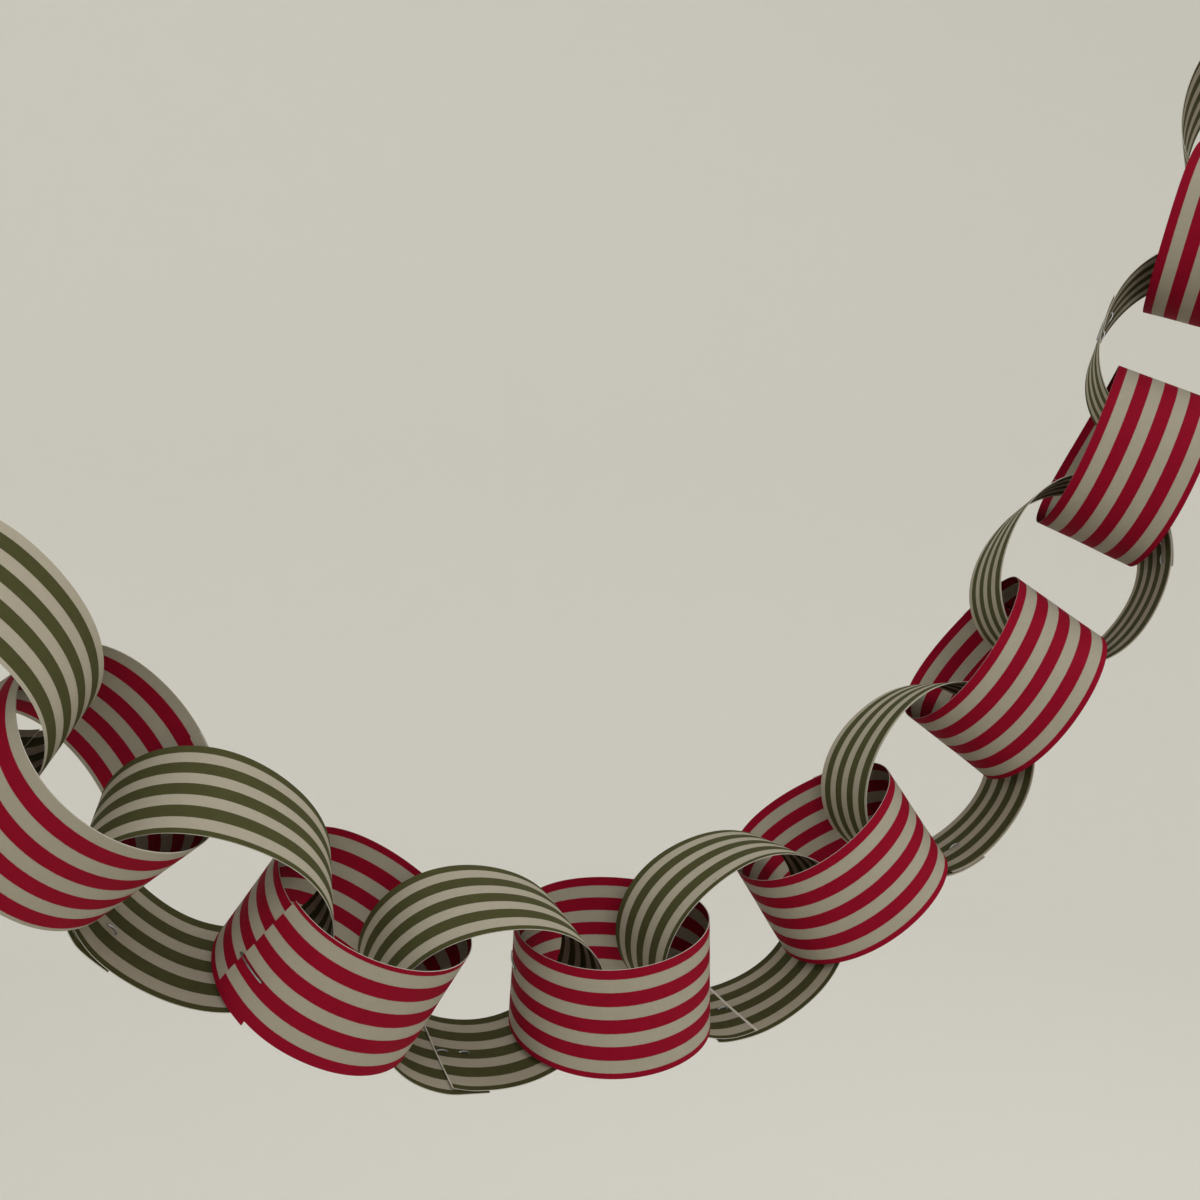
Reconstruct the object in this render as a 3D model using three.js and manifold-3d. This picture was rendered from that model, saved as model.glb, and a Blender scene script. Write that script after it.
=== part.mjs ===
// A paper chain garland: striped paper loops, red and green by turns, each one closed with a
// wire staple and threaded through its neighbours, hanging in a swag between two nails.
//
// Millimetres. +X runs along the garland to its high end, +Y points away from the viewer and
// +Z is up. The origin is where the left-hand nail bears inside the first loop.

import * as THREE from 'three';
import { mergeVertices } from 'three/addons/utils/BufferGeometryUtils.js';
import Module from 'manifold-3d';

const wasm = await Module();
wasm.setup();

// ---------------------------------------------------------------- driving dimensions

// The paper strips.
const STRIP_LENGTH = 210;
const STRIP_WIDTH = 36;
const PAPER = 0.25;
const LAP = 14;
const LAP_GAP = 0.15;
const STRIP_STEPS = 60;
const STRIP_ROWS = 4;

const GIRTH = STRIP_LENGTH - LAP;
const MEAN_RADIUS = GIRTH / (2 * Math.PI);
const HALF_WIDTH = STRIP_WIDTH / 2;
const LAYER = PAPER + LAP_GAP;

// The length over which the last of a strip climbs on to the layer below it.
const CLIMB = 30;

// The staples: square-cornered wire, its legs folded in towards each other.
const WIRE = 0.5;
const WIRE_WIDTH = 0.6;
const CROWN = 12.7;
const LEG = 4.8;
const WIRE_STEP = 2.1;
const CLEARANCE = 0.3;
const LEG_HOLE = 1.1;

const RED = 0xa4122f;
const GREEN = 0x5d6136;
const STEEL = 0xb9bcc0;

// ---------------------------------------------------------------- how the garland hangs

// The loops' centres lie on a catenary, one PITCH apart along it. SAG is the radius of the
// curve at its lowest point, and BOTTOM the place in the chain that hangs there, counted from
// 0 at the left-hand nail.
const PITCH = 44.5;
const SAG = 150;
const BOTTOM = 5.1;

// Each loop is turned a little further about the run of the chain than the one before it.
// UNTURNED is the loop that stands square to the swag.
const TURN = THREE.MathUtils.degToRad(6.5);
const UNTURNED = 5;

// How far a loop is drawn out of round along the chain.
const PULL = { red: 0, green: 3.5 };

// The neighbours draw each loop into a slight saddle: on the diagonal its far edge is pulled
// out by FLARE, and both edges ride out of flat by WARP.
const FLARE = 1;
const WARP = -1;

// Where each strip's ends lap, one row a loop, from the left-hand nail to the right-hand one.
//   lap     where round the loop the ends lap, in degrees from the run of the chain
//   wind    which way round the strip is laid, from its inner end to its outer one
//   skew    how far the outer end misses the inner one sideways
//   pin     how far its staple sits from mid-width
const LOOPS = [
  { name: 'green_1', lap: 30, wind: 1, skew: 0, pin: 0 },
  { name: 'red_1', lap: 45, wind: -1, skew: 0, pin: -10 },
  { name: 'green_2', lap: 120, wind: -1, skew: -2, pin: -5 },
  { name: 'red_2', lap: -150, wind: -1, skew: 2, pin: -5 },
  { name: 'green_3', lap: 90, wind: -1, skew: -2, pin: 0 },
  { name: 'red_3', lap: 165, wind: -1, skew: 0, pin: 5 },
  { name: 'green_4', lap: 120, wind: 1, skew: -1, pin: 0 },
  { name: 'red_4', lap: 45, wind: 1, skew: 0, pin: -10 },
  { name: 'green_5', lap: 120, wind: -1, skew: -1, pin: 0 },
  { name: 'red_5', lap: 45, wind: 1, skew: 0, pin: -10 },
  { name: 'green_6', lap: 45, wind: 1, skew: 0, pin: -10 },
  { name: 'red_6', lap: 90, wind: -1, skew: 0, pin: 0 },
  { name: 'green_7', lap: -90, wind: 1, skew: 0, pin: -5 },
  { name: 'red_7', lap: 90, wind: 1, skew: 0, pin: 0 },
  { name: 'green_8', lap: 90, wind: -1, skew: 0, pin: 0 },
];

// ---------------------------------------------------------------- loops

const isRed = (row) => row.name.startsWith('red');

// The line of the paper's middle round one loop, in the loop's own flat frame.
class LoopLine extends THREE.Curve {
  constructor(row) {
    super();
    this.pull = isRed(row) ? PULL.red : PULL.green;
    this.start = THREE.MathUtils.degToRad(row.lap);
    this.wind = row.wind;
    this.arcLengthDivisions = 720;
    this.radius = MEAN_RADIUS;
    this.radius += (GIRTH - this.getLength()) / (2 * Math.PI);
    this.updateArcLengths();
  }

  getPoint(turn, target = new THREE.Vector3()) {
    const angle = this.start + this.wind * turn * 2 * Math.PI;
    const radius = this.radius + this.pull * Math.cos(2 * angle);
    return target.set(radius * Math.cos(angle), radius * Math.sin(angle), 0);
  }
}

// The loop's own frame: x along the chain, z along the axis of the loop. A green loop's axis
// starts level and a red one's upright, and both are then turned about the chain.
function loopFrame(index) {
  const distance = PITCH * (index - BOTTOM);
  const height = Math.hypot(SAG, distance);
  const centre = new THREE.Vector3(SAG * Math.asinh(distance / SAG), 0, height - SAG);
  const run = new THREE.Vector3(SAG, 0, distance).divideScalar(height);
  const away = new THREE.Vector3(0, 1, 0);
  const up = new THREE.Vector3().crossVectors(run, away);
  const [main, side] = isRed(LOOPS[index]) ? [up, away] : [away, up.clone().negate()];
  const turn = TURN * (index - UNTURNED);
  const axis = main.clone().multiplyScalar(Math.cos(turn));
  axis.addScaledVector(side, Math.sin(turn));
  const across = new THREE.Vector3().crossVectors(axis, run);
  return new THREE.Matrix4().makeBasis(run, across, axis).setPosition(centre);
}

// A loop that can place any point of its strip: `length` runs along the strip from the
// middle of the lap, `side` across it and `rise` out of the paper.
class Loop {
  constructor(index) {
    this.row = LOOPS[index];
    this.line = new LoopLine(this.row);
    this.frame = loopFrame(index);
  }

  // A point of the strip's run seen along the loop's axis, at one level: `edge` is 1 at the
  // far or upper edge and -1 at the other.
  outline(length, rise, edge) {
    const turn = THREE.MathUtils.euclideanModulo(length / GIRTH, 1);
    const tangent = this.line.getTangentAt(turn);
    const out = new THREE.Vector3(tangent.y, -tangent.x, 0).multiplyScalar(this.row.wind);
    const point = this.line.getPointAt(turn).addScaledVector(out, rise);
    const diagonal = Math.sin(2 * Math.atan2(point.y, point.x));
    return point.setLength(point.length() + edge * FLARE * diagonal);
  }

  place(length, side, rise) {
    const climb = THREE.MathUtils.smoothstep(length, GIRTH - CLIMB, GIRTH - LAP / 2);
    const level = this.row.wind * side + this.row.skew * (length / GIRTH - 0.5);
    const point = this.outline(length, rise + LAYER * climb, level / HALF_WIDTH);
    point.z = level + WARP * Math.sin(2 * Math.atan2(point.y, point.x));
    return point.applyMatrix4(this.frame);
  }

  // Bends the flat strip, x along it, y across it and z out of it, round the loop.
  bend(strip) {
    const position = strip.attributes.position;
    for (let i = 0; i < position.count; i += 1) {
      const bent = this.place(position.getX(i), position.getY(i), position.getZ(i));
      position.setXYZ(i, bent.x, bent.y, bent.z);
    }
    return toSolid(strip);
  }

  // Cuts a shape of [length, rise] corners out of stock `depth` thick, at the staple's level.
  cut(corners, depth) {
    const { pin } = this.row;
    const level = pin + WARP * Math.sin(2 * this.line.start);
    const bent = corners.map(([length, rise]) => this.outline(length, rise, pin / HALF_WIDTH));
    const stock = new THREE.ExtrudeGeometry(new THREE.Shape(bent), {
      depth,
      bevelEnabled: false,
    });
    stock.translate(0, 0, level - depth / 2);
    stock.applyMatrix4(this.frame);
    return toSolid(stock);
  }
}

// ---------------------------------------------------------------- booleans

function toSolid(geometry) {
  geometry.deleteAttribute('normal');
  geometry.deleteAttribute('uv');
  const merged = mergeVertices(geometry, 1e-4);
  const mesh = new wasm.Mesh({
    numProp: 3,
    vertProperties: new Float32Array(merged.attributes.position.array),
    triVerts: new Uint32Array(merged.index.array),
  });
  return new wasm.Manifold(mesh);
}

function toGeometry(solid) {
  const mesh = solid.getMesh();
  const geometry = new THREE.BufferGeometry();
  geometry.setAttribute('position', new THREE.BufferAttribute(mesh.vertProperties, 3));
  geometry.setIndex(new THREE.BufferAttribute(mesh.triVerts, 1));
  geometry.computeVertexNormals();
  return geometry;
}

// ---------------------------------------------------------------- pieces

// The paper strip, from its inner end round to its outer end, with holes for the staple.
function stripGeometry(loop) {
  const flat = new THREE.BoxGeometry(
    STRIP_LENGTH, STRIP_WIDTH, PAPER, STRIP_STEPS, STRIP_ROWS, 1,
  );
  flat.translate(STRIP_LENGTH / 2 - LAP / 2, 0, 0);
  let strip = loop.bend(flat);
  for (const side of [-1, 1]) {
    const near = (side * (CROWN - WIRE) - LEG_HOLE) / 2;
    const far = near + LEG_HOLE;
    const outline = [[near, -LAYER], [far, -LAYER], [far, 2 * LAYER], [near, 2 * LAYER]];
    strip = strip.subtract(loop.cut(outline, LEG_HOLE));
  }
  return toGeometry(strip);
}

// The staple seen from its side: crown outside the lap, legs through it and folded in.
function stapleOutline() {
  const crownFoot = PAPER / 2 + LAYER + CLEARANCE;
  const crownTop = crownFoot + WIRE;
  const foldTop = -PAPER / 2 - CLEARANCE;
  const foldFoot = foldTop - WIRE;
  const outer = CROWN / 2;
  const inner = outer - WIRE;
  const tip = outer - LEG;
  const run = (from, to, rise) => {
    const count = Math.ceil(Math.abs(to - from) / WIRE_STEP);
    return Array.from({ length: count + 1 }, (_, i) => [from + ((to - from) * i) / count, rise]);
  };
  return [
    ...run(-outer, outer, crownTop),
    ...run(outer, tip, foldFoot),
    ...run(tip, inner, foldTop),
    ...run(inner, -inner, crownFoot),
    ...run(-inner, -tip, foldTop),
    ...run(-tip, -outer, foldFoot),
  ];
}

function stapleGeometry(loop) {
  return toGeometry(loop.cut(stapleOutline(), WIRE_WIDTH));
}

// ---------------------------------------------------------------- the garland

const paper = {
  red: new THREE.MeshStandardMaterial({ color: RED, roughness: 0.85, metalness: 0 }),
  green: new THREE.MeshStandardMaterial({ color: GREEN, roughness: 0.85, metalness: 0 }),
};
const steel = new THREE.MeshStandardMaterial({ color: STEEL, roughness: 0.35, metalness: 1 });

// Where the left-hand nail bears: inside the first loop, on the side away from the chain.
function hangPoint() {
  const loop = new Loop(0);
  const radius = loop.line.radius + loop.line.pull - PAPER / 2;
  return new THREE.Vector3(-radius, 0, 0).applyMatrix4(loop.frame);
}

const garland = new THREE.Group();
garland.position.copy(hangPoint()).negate();

LOOPS.forEach((row, index) => {
  const loop = new Loop(index);
  const strip = new THREE.Mesh(stripGeometry(loop), isRed(row) ? paper.red : paper.green);
  strip.name = `strip_${row.name}`;
  const staple = new THREE.Mesh(stapleGeometry(loop), steel);
  staple.name = `staple_${row.name}`;
  garland.add(strip, staple);
});

const part = new THREE.Group();
part.add(garland);

export default part;
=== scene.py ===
"""The looks of a paper chain garland.

Loops of striped paper, red and green by turns, hang threaded through each other in a swag.
Each loop is one strip of paper whose ends lap and are held by one wire staple. Angles are in
degrees. Lengths are in millimetres for the paper, the staples and the camera, and in metres
for the room, its lamps and the finished meshes.
"""

from __future__ import annotations

import bisect
import logging
import math
from dataclasses import dataclass, field
from enum import Enum

import bpy
from mathutils import Matrix, Vector, noise

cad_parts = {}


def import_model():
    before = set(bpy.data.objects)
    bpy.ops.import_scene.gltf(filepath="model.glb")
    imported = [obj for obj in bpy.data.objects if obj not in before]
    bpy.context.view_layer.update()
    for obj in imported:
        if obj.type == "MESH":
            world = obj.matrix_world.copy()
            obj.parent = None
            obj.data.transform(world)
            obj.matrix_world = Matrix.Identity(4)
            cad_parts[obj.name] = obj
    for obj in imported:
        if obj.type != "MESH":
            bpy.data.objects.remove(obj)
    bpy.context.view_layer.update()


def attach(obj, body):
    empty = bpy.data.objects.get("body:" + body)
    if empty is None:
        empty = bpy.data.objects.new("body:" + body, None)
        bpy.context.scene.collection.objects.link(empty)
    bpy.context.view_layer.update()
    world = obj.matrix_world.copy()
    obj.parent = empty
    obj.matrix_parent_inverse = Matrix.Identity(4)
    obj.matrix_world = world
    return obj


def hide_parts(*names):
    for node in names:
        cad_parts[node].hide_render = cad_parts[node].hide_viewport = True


LOG = logging.getLogger("garland")

MM = 0.001
Pair = tuple[float, float]
Triple = tuple[float, float, float]


class Ink(Enum):
    """The colour a strip's stripes are printed in."""

    RED = "red"
    GREEN = "green"


class Edge(Enum):
    """How a strip's far edge was cut from the printed sheet.

    The value is how far inside the edge a coloured band starts, in millimetres.
    """

    BESIDE_BAND = 3.5
    THROUGH_BAND = -1.5


@dataclass(frozen=True)
class Hang:
    """How one loop hangs, and how its strip was printed, cut and laid.

    Attributes:
        ink: The colour of the stripes.
        number: The loop's number among those of its colour.
        lap: Where round the loop the ends lap, from the run of the chain.
        wind: Which way round the strip is laid, from its inner end.
        skew: How far the outer end misses the inner one sideways.
        pin: How far the staple sits from mid-width.
        start_trim: Paper missing at the inner end, at the near and far edges.
        end_trim: Paper missing at the outer end, at the near and far edges.
        toe: How far the outer end's tip swings towards the far edge.
        edge: How its far edge was cut from the printed sheet.
        slip: How far the bands wander from the far edge by the outer end.
        gape: How far the outer end lifts at the near and far corners.
        droop: How far the inner end hangs inwards at the near and far corners.
        margin: The bare paper left beside the print at the inner end.
    """

    ink: Ink
    number: int
    lap: float
    wind: int
    skew: float = 0.0
    pin: float = 0.0
    start_trim: Pair = (0.0, 0.0)
    end_trim: Pair = (0.0, 0.0)
    toe: float = 0.0
    edge: Edge = Edge.THROUGH_BAND
    slip: float = 0.0
    gape: Pair = (0.2, 0.2)
    droop: Pair = (0.1, 0.1)
    margin: float = 0.0

    @property
    def name(self) -> str:
        """The loop's name, as its solids have it."""
        return f"{self.ink.value}_{self.number}"


RED, GREEN = Ink.RED, Ink.GREEN
BESIDE = Edge.BESIDE_BAND

HANGS: tuple[Hang, ...] = (
    Hang(GREEN, 1, lap=30, wind=1, edge=BESIDE),
    Hang(RED, 1, lap=45, wind=-1, pin=-10, edge=BESIDE),
    Hang(GREEN, 2, lap=120, wind=-1, skew=-2, pin=-5, start_trim=(-2, 4), toe=2,
         gape=(0.3, 2), droop=(0.2, 0.3)),
    Hang(RED, 2, lap=-150, wind=-1, skew=2, pin=-5, end_trim=(0, 8), slip=-2,
         gape=(0.3, 2.4)),
    Hang(GREEN, 3, lap=90, wind=-1, skew=-2, start_trim=(2, 0), toe=2,
         gape=(0.5, 0.2), droop=(0.5, 0.4), margin=0.4),
    Hang(RED, 3, lap=165, wind=-1, pin=5),
    Hang(GREEN, 4, lap=120, wind=1, skew=-1, gape=(0.3, 0.3), droop=(0.4, 0.5), margin=0.9),
    Hang(RED, 4, lap=45, wind=1, pin=-10),
    Hang(GREEN, 5, lap=120, wind=-1, skew=-1, end_trim=(2, 0), toe=0.5, edge=BESIDE),
    Hang(RED, 5, lap=45, wind=1, pin=-10),
    Hang(GREEN, 6, lap=45, wind=1, pin=-10, edge=BESIDE),
    Hang(RED, 6, lap=90, wind=-1),
    Hang(GREEN, 7, lap=-90, wind=1, pin=-5),
    Hang(RED, 7, lap=90, wind=1),
    Hang(GREEN, 8, lap=90, wind=-1),
)


@dataclass(frozen=True)
class Swag:
    """How the chain hangs between its nails, the loops' centres on a catenary.

    Attributes:
        pitch: From one centre to the next, along the catenary.
        sag: The radius of the catenary at its lowest point.
        bottom: The place in the chain that hangs there, counted from 0 at the left.
        turn: How much further about the chain each loop is turned than the one before it.
        unturned: The loop that stands square to the swag.
        pull_red: How far a red loop is drawn out of round along the chain.
        pull_green: How far a green loop is.
        flare: How far the far edge is pulled out on the diagonal.
        warp: How far both edges ride out of flat there.
    """

    pitch: float = 44.5
    sag: float = 150.0
    bottom: float = 5.1
    turn: float = 6.5
    unturned: int = 5
    pull_red: float = 0.0
    pull_green: float = 3.5
    flare: float = 1.0
    warp: float = -1.0

    def pull(self, ink: Ink) -> float:
        """How far a loop of this colour is drawn out of round."""
        return self.pull_red if ink is Ink.RED else self.pull_green

    def frame(self, index: int) -> Matrix:
        """A loop's own frame: x along the chain, z along the loop's axis.

        Args:
            index: The loop's place in the chain.

        Returns:
            The frame as a matrix, in millimetres from the bottom of the swag.
        """
        distance = self.pitch * (index - self.bottom)
        height = math.hypot(self.sag, distance)
        run = Vector((self.sag, 0.0, distance)) / height
        away = Vector((0.0, 1.0, 0.0))
        up = run.cross(away)
        main, side = (up, away) if HANGS[index].ink is Ink.RED else (away, -up)
        turn = math.radians(self.turn * (index - self.unturned))
        axis = main * math.cos(turn) + side * math.sin(turn)
        frame = Matrix((run, axis.cross(run), axis)).transposed().to_4x4()
        reach = self.sag * math.asinh(distance / self.sag)
        frame.translation = Vector((reach, 0.0, height - self.sag))
        return frame


SWAG = Swag()


def ease(value: float, low: float, high: float) -> float:
    """A smooth step from 0 at `low` to 1 at `high`.

    Args:
        value: Where the step is read.
        low: Where it leaves 0.
        high: Where it reaches 1.

    Returns:
        The step's height.
    """
    share = min(max((value - low) / (high - low), 0.0), 1.0)
    return share * share * (3.0 - 2.0 * share)


@dataclass(frozen=True)
class Cut:
    """The sizes every strip is cut and lapped to.

    Attributes:
        length: Of the flat strip.
        width: Of the flat strip.
        thickness: Of the paper.
        lap: How far the two ends lie over each other.
        lap_gap: The air between them.
        climb: How far before the lap's middle the outer end starts to rise on to the inner one.
    """

    length: float = 210.0
    width: float = 36.0
    thickness: float = 0.25
    lap: float = 14.0
    lap_gap: float = 0.15
    climb: float = 30.0

    @property
    def girth(self) -> float:
        """The length once round a closed loop."""
        return self.length - self.lap

    @property
    def half_width(self) -> float:
        """From mid-width to an edge."""
        return self.width / 2.0

    @property
    def layer(self) -> float:
        """From the middle of one lapped layer to the middle of the next."""
        return self.thickness + self.lap_gap


CUT = Cut()


class Loop:
    """One loop of the chain, which can place any point of its strip.

    A point is given by `length` along the strip from the middle of the lap, `side` across it
    and `rise` out of the paper.
    """

    STEPS = 720

    def __init__(self, index: int) -> None:
        """Settles the loop's frame and the line its strip follows.

        Args:
            index: The loop's place in the chain.
        """
        self.hang = HANGS[index]
        self.frame = SWAG.frame(index)
        self.radius = CUT.girth / math.tau
        self.radius += (CUT.girth - self._runs()[-1]) / math.tau
        self.runs = self._runs()

    def _point(self, turn: float) -> Vector:
        """A point of the line at `turn`, from 0 to 1 round the loop."""
        angle = math.radians(self.hang.lap) + self.hang.wind * turn * math.tau
        radius = self.radius + SWAG.pull(self.hang.ink) * math.cos(2.0 * angle)
        return Vector((radius * math.cos(angle), radius * math.sin(angle), 0.0))

    def _runs(self) -> list[float]:
        """The length run by each step round the loop."""
        points = [self._point(step / self.STEPS) for step in range(self.STEPS + 1)]
        runs = [0.0]
        for last, point in zip(points, points[1:]):
            runs.append(runs[-1] + (point - last).length)
        return runs

    def _turn(self, length: float) -> float:
        """How far round the loop a length along the strip is, from 0 to 1."""
        run = (length % CUT.girth) * self.runs[-1] / CUT.girth
        step = min(max(bisect.bisect_right(self.runs, run) - 1, 0), self.STEPS - 1)
        part = (run - self.runs[step]) / (self.runs[step + 1] - self.runs[step])
        return (step + part) / self.STEPS

    def outline(self, length: float, rise: float, edge: float) -> Vector:
        """A point of the strip's run, seen along the loop's axis.

        Args:
            length: How far along the strip.
            rise: How far out of the paper.
            edge: The level, from -1 at the near or lower edge to 1 at the other.

        Returns:
            The point in the loop's own flat frame.
        """
        turn = self._turn(length)
        step = 0.25 / self.STEPS
        tangent = (self._point(turn + step) - self._point(turn - step)).normalized()
        out = Vector((tangent.y, -tangent.x, 0.0)) * self.hang.wind
        point = self._point(turn) + out * rise
        flare = edge * SWAG.flare * math.sin(2.0 * math.atan2(point.y, point.x))
        return point * (1.0 + flare / point.length)

    def place(self, length: float, side: float, rise: float) -> Vector:
        """Where a point of the strip is in the garland, in metres.

        Args:
            length: How far along the strip.
            side: How far across it.
            rise: How far out of the paper.

        Returns:
            The point, measured from the garland's origin.
        """
        climb = ease(length, CUT.girth - CUT.climb, CUT.girth - CUT.lap / 2.0)
        level = self.hang.wind * side + self.hang.skew * (length / CUT.girth - 0.5)
        level += self.hang.toe * ease(length, CUT.girth - CUT.lap / 2.0, CUT.girth + CUT.lap / 2.0)
        point = self.outline(length, rise + CUT.layer * climb, level / CUT.half_width)
        point.z = level + SWAG.warp * math.sin(2.0 * math.atan2(point.y, point.x))
        return to_garland(self.frame @ point)

    def pin_place(self, length: float, side: float, rise: float) -> Vector:
        """Where a point of the staple is in the garland, in metres.

        Args:
            length: How far along the strip from the middle of the lap.
            side: How far across the strip from the staple's middle.
            rise: How far out of the inner layer of the lap.

        Returns:
            The point, measured from the garland's origin.
        """
        point = self.outline(length, rise, self.hang.pin / CUT.half_width)
        level = SWAG.warp * math.sin(2.0 * math.radians(self.hang.lap)) + self.hang.pin
        point.z = level + self.hang.wind * side
        return to_garland(self.frame @ point)


def hang_point() -> Vector:
    """Where the left-hand nail bears, measured from the bottom of the swag."""
    first = Loop(0)
    radius = first.radius + SWAG.pull(first.hang.ink) - CUT.thickness / 2.0
    return first.frame @ Vector((-radius, 0.0, 0.0))


ORIGIN = hang_point()


def to_garland(point: Vector) -> Vector:
    """A point measured from the bottom of the swag, moved to the origin, in metres."""
    return (point - ORIGIN) * MM


# ------------------------------------------------------------------------------- finishes


class Nodes:
    """A small helper that adds and links the nodes of one material."""

    def __init__(self, name: str) -> None:
        """Starts a material with one Principled shader.

        Args:
            name: The material's name.
        """
        self.material = bpy.data.materials.new(name)
        self.material.use_nodes = True
        self.tree = self.material.node_tree
        self.tree.nodes.clear()
        output = self.tree.nodes.new("ShaderNodeOutputMaterial")
        self.shader = self.tree.nodes.new("ShaderNodeBsdfPrincipled")
        self.link(self.shader.outputs["BSDF"], output.inputs["Surface"])

    def link(self, source: bpy.types.NodeSocket, target: bpy.types.NodeSocket) -> None:
        """Joins an output to an input."""
        self.tree.links.new(source, target)

    def add(self, kind: str, inputs: dict[str | int, object] | None = None,
            **settings: object) -> bpy.types.Node:
        """Adds a node.

        Args:
            kind: The node's type.
            inputs: Values or output sockets, by input name or number.
            settings: The node's own settings.

        Returns:
            The new node.
        """
        node = self.tree.nodes.new(kind)
        for key, value in settings.items():
            setattr(node, key, value)
        for key, value in (inputs or {}).items():
            if isinstance(value, bpy.types.NodeSocket):
                self.link(value, node.inputs[key])
            else:
                node.inputs[key].default_value = value
        return node

    def math(self, operation: str, first: object, second: object = 0.0) -> bpy.types.NodeSocket:
        """Adds a sum of two values or sockets and gives its result."""
        return self.add("ShaderNodeMath", {0: first, 1: second}, operation=operation).outputs[0]

    def noise(self, where: bpy.types.NodeSocket, scale: float, detail: float,
              roughness: float = 0.5) -> bpy.types.NodeSocket:
        """Adds a noise texture and gives its height."""
        inputs = {"Vector": where, "Scale": scale, "Detail": detail, "Roughness": roughness}
        return self.add("ShaderNodeTexNoise", inputs).outputs["Fac"]

    def blend(self, share: object, low: object, high: object,
              mode: str = "MIX") -> bpy.types.NodeSocket:
        """Mixes two colours by a share and gives the mixed colour."""
        node = self.add("ShaderNodeMix", data_type="RGBA", blend_type=mode)
        for number, value in ((0, share), (6, low), (7, high)):
            if isinstance(value, bpy.types.NodeSocket):
                self.link(value, node.inputs[number])
            else:
                node.inputs[number].default_value = value
        return node.outputs[2]


Colour = tuple[float, float, float, float]


@dataclass(frozen=True)
class StripedPaper:
    """Uncoated paper printed on both sides with bands of one ink.

    Attributes:
        name: The material's name.
        ink: The printed colour.
        bare: The colour of the bare paper.
        core: The paler fibre shown where the ends are cut.
        band_share: How much of each repeat is printed.
        blur: How soft the printed edge is, as a share of a repeat.
    """

    name: str
    ink: Colour
    bare: Colour
    core: Colour = (0.66, 0.63, 0.55, 1.0)
    band_share: float = 0.517
    blur: float = 0.008

    def build(self) -> bpy.types.Material:
        """Makes the material, which reads the bands from the strip's UV map."""
        nodes = Nodes(self.name)
        spot = nodes.add("ShaderNodeTexCoord").outputs["Object"]
        print_map = nodes.add("ShaderNodeUVMap", uv_map="print").outputs["UV"]
        parts = nodes.add("ShaderNodeSeparateXYZ", {0: print_map})
        fibre_map = nodes.add("ShaderNodeCombineXYZ", {
            0: nodes.math("MULTIPLY", parts.outputs["X"], 120.0),
            1: nodes.math("MULTIPLY", parts.outputs["Y"], 9.0),
        }).outputs[0]
        ragged = nodes.noise(spot, 1400.0, 2.0)
        shifted = nodes.math("ADD", parts.outputs["Y"], nodes.math(
            "MULTIPLY", nodes.math("SUBTRACT", ragged, 0.5), 0.018))
        share = nodes.math("FRACT", shifted)
        bands = nodes.add("ShaderNodeValToRGB", {0: share})
        ramp = bands.color_ramp
        ramp.elements[0].position = 0.0
        ramp.elements[0].color = (1.0, 1.0, 1.0, 1.0)
        ramp.elements[1].position = 1.0
        ramp.elements[1].color = (1.0, 1.0, 1.0, 1.0)
        stops = ((self.band_share - self.blur, 1.0), (self.band_share + self.blur, 0.0),
                 (1.0 - self.blur, 0.0))
        for position, height in stops:
            ramp.elements.new(position).color = (height, height, height, 1.0)
        inked = bands.outputs["Color"]
        mottle = nodes.noise(spot, 260.0, 4.0, 0.6)
        grain = nodes.noise(fibre_map, 6.0, 5.0, 0.65)
        ink = nodes.blend(mottle, tuple(0.86 * c for c in self.ink[:3]) + (1.0,),
                          tuple(min(1.12 * c, 1.0) for c in self.ink[:3]) + (1.0,))
        bare = nodes.blend(mottle, tuple(0.93 * c for c in self.bare[:3]) + (1.0,),
                           tuple(1.05 * c for c in self.bare[:3]) + (1.0,))
        colour = nodes.blend(inked, bare, ink)
        tooth = nodes.add("ShaderNodeMapRange", {
            "Value": grain, "From Min": 0.25, "From Max": 0.75, "To Min": 0.93,
            "To Max": 1.05}).outputs[0]
        toned = nodes.blend(1.0, colour, tooth, "MULTIPLY")
        specks = nodes.add("ShaderNodeTexVoronoi", {
            "Vector": spot, "Scale": 55.0, "Randomness": 1.0}).outputs["Distance"]
        speck = nodes.add("ShaderNodeMapRange", {
            "Value": specks, "From Min": 0.012, "From Max": 0.02, "To Min": 0.55,
            "To Max": 0.0}).outputs[0]
        flecked = nodes.blend(speck, toned, (0.05, 0.045, 0.03, 1.0))
        unprinted = nodes.math("LESS_THAN", parts.outputs["X"], 0.0)
        ended = nodes.blend(unprinted, flecked, self.core)
        nodes.link(ended, nodes.shader.inputs["Base Color"])
        rough = nodes.add("ShaderNodeMapRange", {
            "Value": grain, "To Min": 0.72, "To Max": 0.92}).outputs[0]
        nodes.link(rough, nodes.shader.inputs["Roughness"])
        nodes.shader.inputs["Specular IOR Level"].default_value = 0.08
        height = nodes.math("ADD", nodes.math("MULTIPLY", grain, 0.6),
                            nodes.math("MULTIPLY", nodes.noise(spot, 2600.0, 3.0), 0.4))
        bump = nodes.add("ShaderNodeBump", {
            "Height": height, "Strength": 0.35, "Distance": 0.00008})
        nodes.link(bump.outputs["Normal"], nodes.shader.inputs["Normal"])
        return nodes.material


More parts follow.
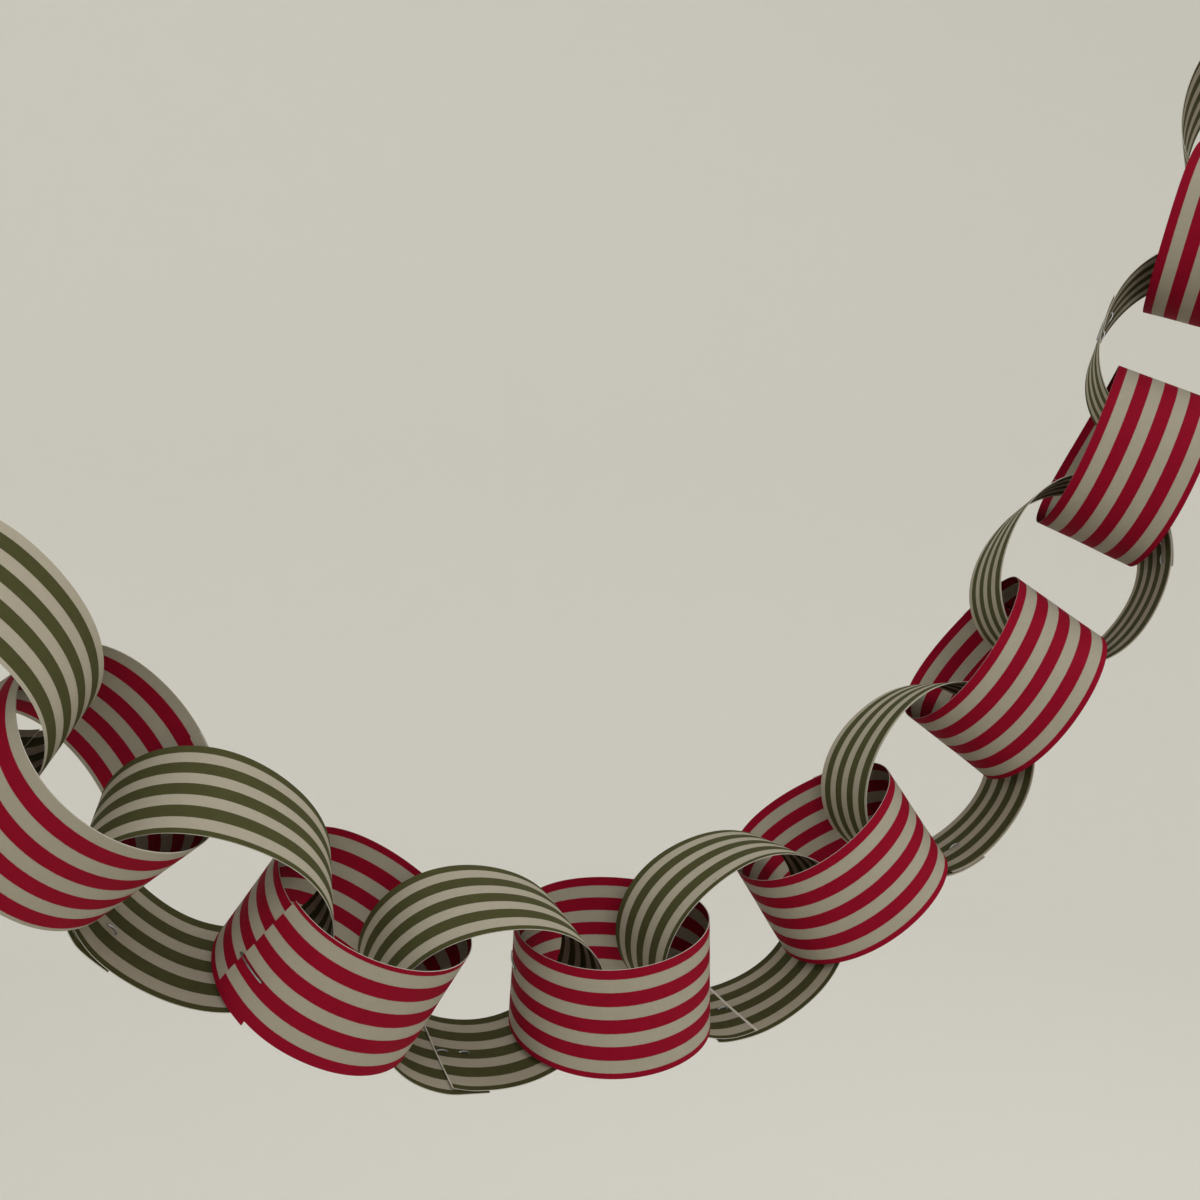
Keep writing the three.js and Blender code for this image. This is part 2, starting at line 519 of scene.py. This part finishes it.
@dataclass(frozen=True)
class CutEdge:
    """The pale core of the paper, seen where it was cut.

    Attributes:
        name: The material's name.
        colour: The colour of the fibre.
    """

    name: str
    colour: Colour

    def build(self) -> bpy.types.Material:
        """Makes the material."""
        nodes = Nodes(self.name)
        spot = nodes.add("ShaderNodeTexCoord").outputs["Object"]
        fuzz = nodes.noise(spot, 1800.0, 3.0)
        dark = tuple(0.7 * c for c in self.colour[:3]) + (1.0,)
        nodes.link(nodes.blend(fuzz, dark, self.colour), nodes.shader.inputs["Base Color"])
        nodes.shader.inputs["Roughness"].default_value = 0.9
        nodes.shader.inputs["Specular IOR Level"].default_value = 0.2
        return nodes.material


@dataclass(frozen=True)
class StapleWire:
    """Drawn and flattened steel wire with a bright zinc coat."""

    name: str = "staple_wire"

    def build(self) -> bpy.types.Material:
        """Makes the material."""
        nodes = Nodes(self.name)
        spot = nodes.add("ShaderNodeTexCoord").outputs["Object"]
        drawn = nodes.noise(spot, 900.0, 4.0, 0.6)
        colour = nodes.blend(drawn, (0.30, 0.31, 0.32, 1.0), (0.55, 0.56, 0.57, 1.0))
        nodes.link(colour, nodes.shader.inputs["Base Color"])
        rough = nodes.add("ShaderNodeMapRange", {
            "Value": drawn, "To Min": 0.22, "To Max": 0.42}).outputs[0]
        nodes.link(rough, nodes.shader.inputs["Roughness"])
        nodes.shader.inputs["Metallic"].default_value = 1.0
        bump = nodes.add("ShaderNodeBump", {
            "Height": drawn, "Strength": 0.2, "Distance": 0.00003})
        nodes.link(bump.outputs["Normal"], nodes.shader.inputs["Normal"])
        return nodes.material


# --------------------------------------------------------------------------------- pieces


def deselect_all() -> None:
    """Leaves edit mode and clears the selection."""
    if bpy.context.object and bpy.context.object.mode != "OBJECT":
        bpy.ops.object.mode_set(mode="OBJECT")
    bpy.ops.object.select_all(action="DESELECT")


@dataclass
class PaperStrip:
    """One strip of paper, bent round to a loop with its ends lapped.

    Attributes:
        loop: The loop it makes.
        face: The finish of its two sides.
        core: The finish of its cut edges.
        columns: Steps along the strip.
        rows: Steps across it.
        period: From one coloured band to the next.
        repeats_before: Repeats counted before the far edge, which keeps the count positive.
        ripple: How far the paper is from lying true.
        ripple_run: The length along the strip of one ripple.
        ripple_across: How fast the ripples change from one edge to the other.
        smooth_under: The angle under which its faces are shaded smooth.
    """

    loop: Loop
    face: bpy.types.Material
    core: bpy.types.Material
    columns: int = 180
    rows: int = 12
    period: float = 8.9
    repeats_before: float = 20.0
    ripple: float = 0.12
    ripple_run: float = 24.0
    ripple_across: float = 1.2
    smooth_under: float = 40.0

    def build(self) -> bpy.types.Object:
        """Makes the strip and gives its object."""
        deselect_all()
        bpy.ops.mesh.primitive_grid_add(
            x_subdivisions=self.columns, y_subdivisions=self.rows, size=1.0)
        strip = bpy.context.object
        strip.name = f"paper_{self.loop.hang.name}"
        strip.data.name = strip.name
        self._bend(strip)
        strip.data.materials.append(self.face)
        strip.data.materials.append(self.core)
        solid = strip.modifiers.new("thickness", "SOLIDIFY")
        solid.thickness = CUT.thickness * MM
        solid.offset = 0.0
        solid.material_offset_rim = 1
        bpy.ops.object.modifier_apply(modifier=solid.name)
        bpy.ops.object.shade_smooth_by_angle(angle=math.radians(self.smooth_under))
        return strip

    def _bend(self, strip: bpy.types.Object) -> None:
        """Lays the flat grid round the loop and prints its UV map.

        Args:
            strip: The grid, one unit long and wide.
        """
        mesh = strip.data
        flats = [(vertex.co.x + 0.5, 2.0 * vertex.co.y) for vertex in mesh.vertices]
        for vertex, (share, edge) in zip(mesh.vertices, flats):
            vertex.co = self._paper(share, edge)
        print_map = mesh.uv_layers[0]
        print_map.name = "print"
        for corner in mesh.loops:
            share, edge = flats[corner.vertex_index]
            print_map.data[corner.index].uv = self._print(share, edge)

    def _ends(self, share: float, edge: float) -> float:
        """The length along the strip at a share of it, between its trimmed ends."""
        hang = self.loop.hang
        far = 0.5 + 0.5 * edge * hang.wind
        start = hang.start_trim[0] * (1.0 - far) + hang.start_trim[1] * far
        end = hang.end_trim[0] * (1.0 - far) + hang.end_trim[1] * far
        return start + share * (CUT.length - start - end) - CUT.lap / 2.0

    def _paper(self, share: float, edge: float) -> Vector:
        """Where a point of the paper is.

        Args:
            share: How far along the strip, from 0 to 1.
            edge: How far across it, from -1 to 1.

        Returns:
            The point in the garland, in metres.
        """
        hang = self.loop.hang
        length = self._ends(share, edge)
        far = 0.5 + 0.5 * edge * hang.wind
        seed = 7.0 * hang.number + (3.0 if hang.ink is Ink.RED else 0.0)
        loose = ease(length, CUT.lap, 2.5 * CUT.lap)
        loose *= 1.0 - ease(length, CUT.girth - 2.5 * CUT.lap, CUT.girth - CUT.lap)
        spot = Vector((length / self.ripple_run, self.ripple_across * edge, seed))
        rise = self.ripple * loose * noise.noise(spot)
        lift = hang.gape[0] * (1.0 - far) + hang.gape[1] * far
        rise += lift * ease(length, CUT.girth - 2.0, CUT.girth + CUT.lap / 2.0) * abs(edge)
        sink = hang.droop[0] * (1.0 - far) + hang.droop[1] * far
        rise -= sink * (1.0 - ease(length, -CUT.lap / 2.0, 2.0)) * abs(edge)
        return self.loop.place(length, edge * CUT.half_width, rise)

    def _print(self, share: float, edge: float) -> Pair:
        """Where a point of the paper is in the print.

        Args:
            share: How far along the strip, from 0 to 1.
            edge: How far across it, from -1 to 1.

        Returns:
            Metres past the bare margin, and repeats of the bands across the strip.
        """
        hang = self.loop.hang
        from_far = CUT.half_width * (1.0 - edge * hang.wind)
        start = hang.edge.value + hang.slip * share
        printed = CUT.length * share - hang.margin
        return (printed * MM, self.repeats_before + (from_far - start) / self.period)


@dataclass
class Staple:
    """One closed wire staple, modelled flat and then bent on to each lap.

    Attributes:
        finish: The finish of the wire.
        crown: The staple's width over its legs.
        wire: The wire's thickness out of the paper.
        broad: The wire's breadth across the crown.
        leg: How far each leg is folded in.
        corner: The radius inside each bend.
        clearance: How far the wire stands off the paper.
        clinch: How far each step of a folded leg rises, root to tip.
        crown_steps: Steps along half of the crown.
        bend_steps: Steps round each bend.
        soft: How far the wire's corners are rounded.
        soft_over: The angle over which they are.
        smooth_under: The angle under which its faces are shaded smooth.
    """

    finish: bpy.types.Material
    crown: float = 12.7
    wire: float = 0.42
    broad: float = 0.5
    leg: float = 4.8
    corner: float = 0.25
    clearance: float = 0.12
    clinch: tuple[float, ...] = (-0.42, -0.22, -0.02, 0.16, 0.3)
    crown_steps: int = 6
    bend_steps: int = 4
    soft: float = 0.1
    soft_over: float = 50.0
    smooth_under: float = 35.0
    model: bpy.types.Mesh | None = field(default=None, init=False)

    def _half(self) -> bpy.types.Object:
        """Draws the wire from the crown's middle to one leg's tip."""
        deselect_all()
        top = CUT.thickness / 2.0 + CUT.layer + self.clearance + self.wire / 2.0
        foot = -CUT.thickness / 2.0 - self.clearance - self.wire / 2.0
        bend = self.corner + self.wire / 2.0
        end = self.crown / 2.0 - self.wire / 2.0
        bpy.ops.mesh.primitive_plane_add(
            size=1.0, location=(0.0, 0.0, top), rotation=(0.0, math.pi / 2.0, 0.0))
        half = bpy.context.object
        half.scale = (self.wire, self.broad, 1.0)
        bpy.ops.object.transform_apply(location=True, rotation=True, scale=True)
        bpy.ops.object.mode_set(mode="EDIT")
        bpy.ops.mesh.select_all(action="SELECT")
        straight = end - bend
        for _ in range(self.crown_steps):
            self._draw((straight / self.crown_steps, 0.0, 0.0))
        self._turn((end - bend, 0.0, top - bend))
        self._draw((0.0, 0.0, foot + bend - (top - bend)))
        self._turn((end - bend, 0.0, foot + bend))
        folded = self.leg - self.wire - bend
        for rise in self.clinch:
            self._draw((-folded / len(self.clinch), 0.0, rise))
        bpy.ops.object.mode_set(mode="OBJECT")
        return half

    @staticmethod
    def _draw(step: Triple) -> None:
        """Extrudes the wire's end by a step."""
        bpy.ops.mesh.extrude_region_move(TRANSFORM_OT_translate={"value": step})

    def _turn(self, centre: Triple) -> None:
        """Bends the wire's end a quarter turn round a centre."""
        bpy.ops.mesh.spin(
            steps=self.bend_steps, angle=math.pi / 2.0, center=centre, axis=(0.0, 1.0, 0.0))

    def _model(self) -> bpy.types.Mesh:
        """Makes the flat staple once and keeps its mesh."""
        if self.model is None:
            half = self._half()
            mirror = half.modifiers.new("other_half", "MIRROR")
            mirror.use_axis = (True, False, False)
            mirror.merge_threshold = 0.01
            bpy.ops.object.modifier_apply(modifier=mirror.name)
            bpy.ops.object.mode_set(mode="EDIT")
            bpy.ops.mesh.select_all(action="SELECT")
            bpy.ops.mesh.remove_doubles(threshold=0.005)
            bpy.ops.mesh.normals_make_consistent(inside=False)
            bpy.ops.object.mode_set(mode="OBJECT")
            bevel = half.modifiers.new("soft_corners", "BEVEL")
            bevel.width = self.soft
            bevel.segments = 2
            bevel.limit_method = "ANGLE"
            bevel.angle_limit = math.radians(self.soft_over)
            bpy.ops.object.modifier_apply(modifier=bevel.name)
            self.model = half.data.copy()
            bpy.data.objects.remove(half)
        return self.model

    def build(self, loop: Loop) -> bpy.types.Object:
        """Bends a copy of the staple on to a loop's lap.

        Args:
            loop: The loop it closes.

        Returns:
            The staple's object.
        """
        mesh = self._model().copy()
        mesh.name = f"staple_wire_{loop.hang.name}"
        staple = bpy.data.objects.new(mesh.name, mesh)
        bpy.context.scene.collection.objects.link(staple)
        for vertex in mesh.vertices:
            vertex.co = loop.pin_place(*vertex.co)
        mesh.materials.append(self.finish)
        deselect_all()
        bpy.context.view_layer.objects.active = staple
        staple.select_set(True)
        bpy.ops.object.mode_set(mode="EDIT")
        bpy.ops.mesh.select_all(action="SELECT")
        bpy.ops.mesh.normals_make_consistent(inside=False)
        bpy.ops.object.mode_set(mode="OBJECT")
        bpy.ops.object.shade_smooth_by_angle(angle=math.radians(self.smooth_under))
        return staple


@dataclass
class Garland:
    """The whole chain: its strips, its staples and their finishes."""

    red: StripedPaper = StripedPaper(
        "red_stripes", (0.275, 0.003, 0.020, 1.0), (0.402, 0.370, 0.292, 1.0))
    green: StripedPaper = StripedPaper(
        "green_stripes", (0.068, 0.068, 0.025, 1.0), (0.410, 0.374, 0.292, 1.0))
    core: CutEdge = CutEdge("paper_core", (0.60, 0.57, 0.49, 1.0))
    wire: StapleWire = StapleWire()

    def build(self) -> None:
        """Builds every loop and hands its pieces to the frame."""
        faces = {Ink.RED: self.red.build(), Ink.GREEN: self.green.build()}
        core = self.core.build()
        staples = Staple(self.wire.build())
        for index, hang in enumerate(HANGS):
            loop = Loop(index)
            strip = PaperStrip(loop, faces[hang.ink], core).build()
            self._hand_over(strip, f"strip_{hang.name}", f"{hang.ink.value}_paper")
            staple = staples.build(loop)
            self._hand_over(staple, f"staple_{hang.name}", "staple_wire")

    @staticmethod
    def _hand_over(piece: bpy.types.Object, node: str, slot: str) -> None:
        """Says what a piece rides on, and hides the solid it stands for.

        Args:
            piece: The finished piece.
            node: The solid it stands for.
            slot: Not used.
        """
        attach(piece, "root")
        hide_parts(node)
        LOG.info("%s: %d faces for %s", piece.name, len(piece.data.polygons), node)


# --------------------------------------------------------------------------------- studio


# The middle of the swag, which the lamps aim at, in metres from the garland's origin.
MIDDLE: Triple = (0.24, 0.0, -0.05)


@dataclass(frozen=True)
class Lamp:
    """One broad round lamp, aimed at the middle of the swag.

    Attributes:
        name: Its name.
        at: Where it is, in metres.
        size: Its diameter, in metres.
        power: Its power, in watts.
        colour: Its colour.
    """

    name: str
    at: Triple
    size: float
    power: float
    colour: Triple = (1.0, 1.0, 1.0)


@dataclass
class Studio:
    """A pale bowl of a room, soft light from above and the camera.

    The camera's place is in millimetres from the bottom of the swag, and its angles are in
    degrees. The room and its lamps are in metres from the garland's origin.

    Attributes:
        under: The point that the floor lies straight below.
        floor_drop: How far the floor is below it.
        bowl_radius: The radius of the round wall.
        bowl_height: The height of its rim over the floor.
        cove: The radius of the sweep from floor to wall.
        bowl_sides: Sides round the wall.
        cove_steps: Steps up the sweep.
        wall: The colour of the paint.
        camera_at: Where the camera is.
        camera_turn: How far it is turned about the upright.
        camera_pitch: How far it looks up from straight down.
        lens: Its focal length.
        sensor: The width of its sensor.
        sky: The colour of the even light.
        sky_strength: Its strength.
        lamps: The soft lamps.
    """

    under: Triple = (0.24, 0.0, -0.2)
    floor_drop: float = 1.1
    bowl_radius: float = 3.4
    bowl_height: float = 3.2
    cove: float = 1.0
    bowl_sides: int = 96
    cove_steps: int = 12
    wall: Colour = (0.90, 0.89, 0.85, 1.0)
    camera_at: Triple = (-150.0, -318.0, 195.0)
    camera_turn: float = -24.0
    camera_pitch: float = 78.0
    lens: float = 36.0
    sensor: float = 36.0
    sky: Colour = (1.0, 0.985, 0.95, 1.0)
    sky_strength: float = 0.6
    lamps: tuple[Lamp, ...] = (
        Lamp("ceiling", (0.0, -1.6, 1.7), 1.6, 13.5, (1.0, 0.99, 0.97)),
        Lamp("window", (1.8, -0.2, 1.5), 1.6, 12.0, (1.0, 0.985, 0.95)),
    )

    def build(self) -> None:
        """Builds the room, its lights and the camera."""
        self._bowl()
        self._lights()
        self._camera()

    def _bowl(self) -> None:
        """A floor that rises in one sweep to a round wall."""
        deselect_all()
        centre = Vector(self.under)
        centre.z -= self.floor_drop
        bpy.ops.mesh.primitive_circle_add(
            vertices=self.bowl_sides, radius=self.bowl_radius - self.cove, fill_type="NGON",
            location=centre)
        bowl = bpy.context.object
        bowl.name = "studio_floor"
        bpy.ops.object.mode_set(mode="EDIT")
        bpy.ops.mesh.select_all(action="SELECT")
        last_radius, last_height = self.bowl_radius - self.cove, 0.0
        for step in range(1, self.cove_steps + 1):
            angle = math.pi / 2.0 * step / self.cove_steps
            radius = self.bowl_radius - self.cove + self.cove * math.sin(angle)
            height = self.cove * (1.0 - math.cos(angle))
            self._raise(radius / last_radius, height - last_height, centre)
            last_radius, last_height = radius, height
        self._raise(1.0, self.bowl_height - self.cove, centre)
        bpy.ops.mesh.delete(type="ONLY_FACE")
        bpy.ops.object.mode_set(mode="OBJECT")
        bpy.ops.object.transform_apply(location=True, rotation=True, scale=True)
        nodes = Nodes("studio_paint")
        nodes.shader.inputs["Base Color"].default_value = self.wall
        nodes.shader.inputs["Roughness"].default_value = 0.95
        nodes.shader.inputs["Specular IOR Level"].default_value = 0.1
        bowl.data.materials.append(nodes.material)
        bpy.ops.object.shade_smooth()

    @staticmethod
    def _raise(spread: float, height: float, centre: Vector) -> None:
        """Extrudes the rim of the bowl, spreads it and lifts it."""
        bpy.ops.mesh.extrude_region_move(TRANSFORM_OT_translate={"value": (0.0, 0.0, height)})
        bpy.ops.transform.resize(
            value=(spread, spread, 1.0), center_override=(centre.x, centre.y, centre.z))

    def _lights(self) -> None:
        """An even sky over the bowl and the soft lamps."""
        world = bpy.data.worlds.new("studio_sky")
        world.use_nodes = True
        sky = world.node_tree.nodes["Background"]
        sky.inputs["Color"].default_value = self.sky
        sky.inputs["Strength"].default_value = self.sky_strength
        bpy.context.scene.world = world
        for lamp in self.lamps:
            deselect_all()
            bpy.ops.object.light_add(type="AREA", location=lamp.at)
            light = bpy.context.object
            light.name = lamp.name
            light.data.shape = "DISK"
            light.data.size = lamp.size
            light.data.energy = lamp.power
            light.data.color = lamp.colour
            aim = Vector(MIDDLE) - Vector(lamp.at)
            light.rotation_euler = aim.to_track_quat("-Z", "Y").to_euler()

    def _camera(self) -> None:
        """The camera, a little above the swag and turned along it."""
        data = bpy.data.cameras.new("camera")
        data.lens = self.lens
        data.sensor_width = self.sensor
        data.clip_start = 0.01
        camera = bpy.data.objects.new("camera", data)
        camera.location = to_garland(Vector(self.camera_at))
        camera.rotation_euler = (
            math.radians(self.camera_pitch), 0.0, math.radians(self.camera_turn))
        bpy.context.scene.collection.objects.link(camera)
        bpy.context.scene.camera = camera


def main() -> None:
    """Builds the garland and its room."""
    logging.basicConfig(level=logging.INFO, format="%(message)s")
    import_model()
    bpy.context.scene.view_settings.view_transform = "Standard"
    Studio().build()
    Garland().build()
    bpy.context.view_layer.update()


if __name__ == "__main__":
    main()
